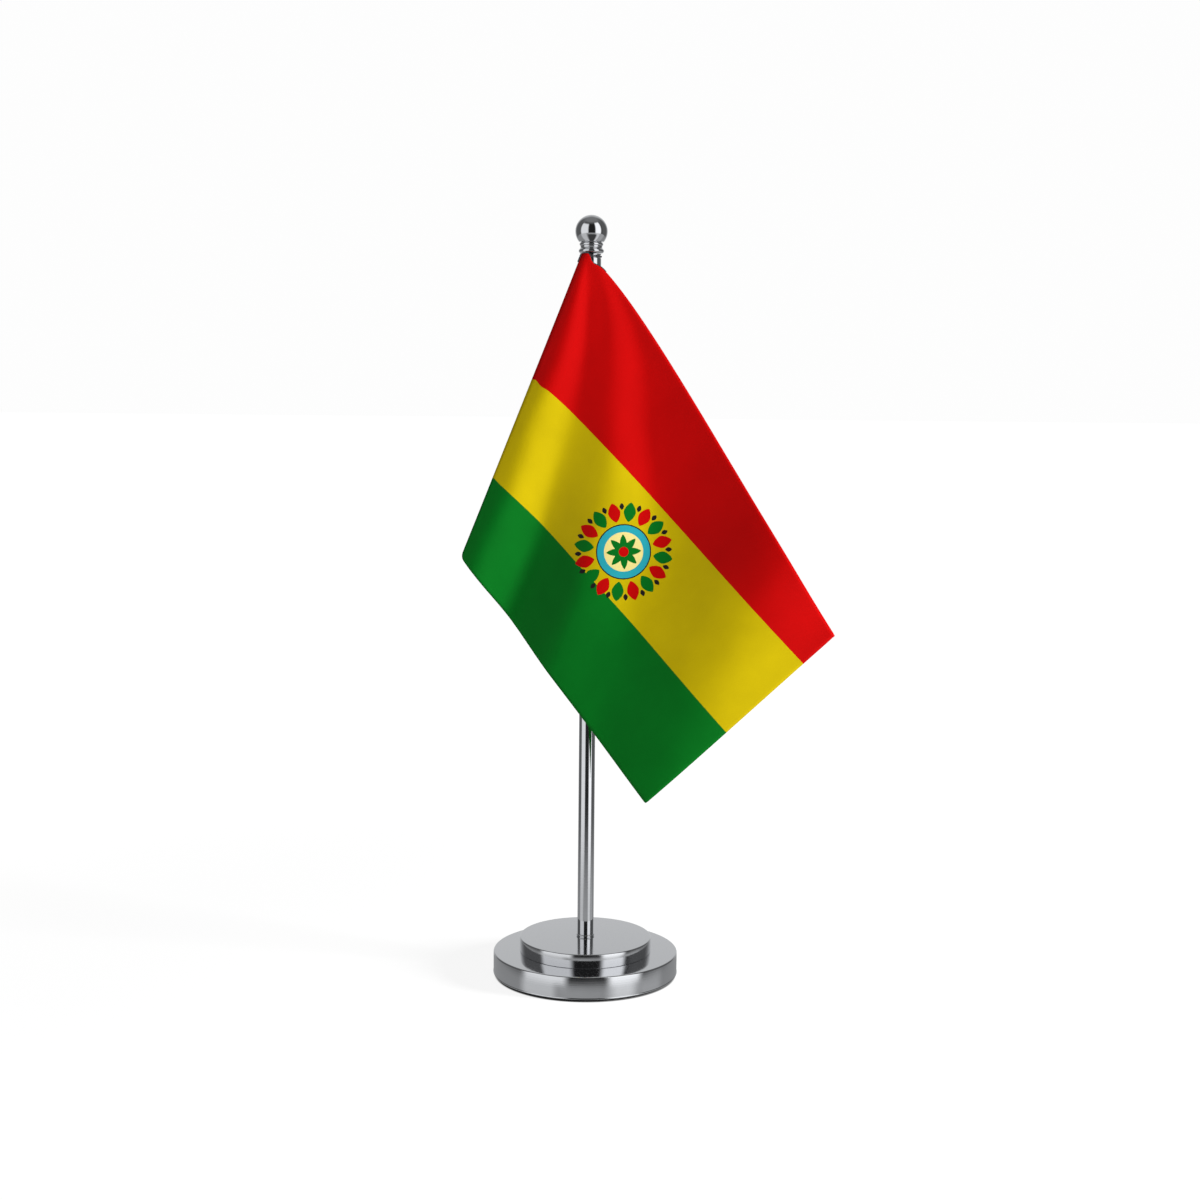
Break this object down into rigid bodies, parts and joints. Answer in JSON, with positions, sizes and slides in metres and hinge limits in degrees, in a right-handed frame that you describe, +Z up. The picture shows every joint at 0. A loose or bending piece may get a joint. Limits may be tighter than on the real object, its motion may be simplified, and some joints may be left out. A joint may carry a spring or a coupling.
{
  "type": "desk flag stand",
  "caption": "Desk flag stand: a weighted two-step round base, a slim pole with a screw-on ball finial, and a striped flag hung from its top corner.",
  "frame": {"origin": "centre of the base's underside, on the surface that the stand rests on", "axes": "+Z up along the pole, +X towards the flag's fly end, -Y towards the viewer, on the printed front side"},
  "size_m": [0.1576, 0.08, 0.3255],
  "materials": {
    "brushed": "satin turned steel",
    "polished": "polished",
    "iron": "as cast",
    "zinc": "zinc plated",
    "plug_brass": "machined",
    "pad": "matte foam",
    "satin": "printed satin in red, yellow and green stripes",
    "lining": "plain interlining",
    "cord": "twisted cord"
  },
  "bodies": {
    "stand": {"base_pad": "pad", "base_cap": "brushed", "base_weight": "iron", "step_cap": "brushed", "step_weight": "iron", "base_screw": "zinc", "base_washer": "zinc", "lock_washer": "zinc", "foot_ring": "polished", "pole_tube": "polished", "pole_plug": "plug_brass", "pole_head": "polished"},
    "collar": {"finial_collar": "polished"},
    "finial": {"finial_ball": "polished", "finial_stud": "zinc"},
    "loop": {"hanging_loop": "cord"},
    "flag": {"flag_front": "satin", "flag_lining": "lining", "flag_back": "satin", "corner_cord": "cord"}
  },
  "joints": [
    {"name": "finial_lift", "type": "slide", "parent": "stand", "child": "collar", "axis": [0, 0, 1], "range_m": [0, 0.0042]},
    {"name": "finial_turn", "type": "hinge", "parent": "collar", "child": "finial", "pos_m": [0, 0, 0.3144], "axis": [0, 0, 1], "range_deg": [0, 2160]},
    {"name": "flag_swivel", "type": "hinge", "parent": "stand", "child": "loop", "pos_m": [0, 0, 0.3083], "axis": [0, 0, 1], "continuous": true},
    {"name": "flag_swing", "type": "hinge", "parent": "loop", "child": "flag", "pos_m": [-0.0021, -0.00585, 0.3091], "axis": [0, 1, 0], "range_deg": [-10, 10]}
  ],
  "couplings": [
    {"joint": "finial_lift", "follows": "finial_turn", "m_per_rad": 0.00011141}
  ]
}
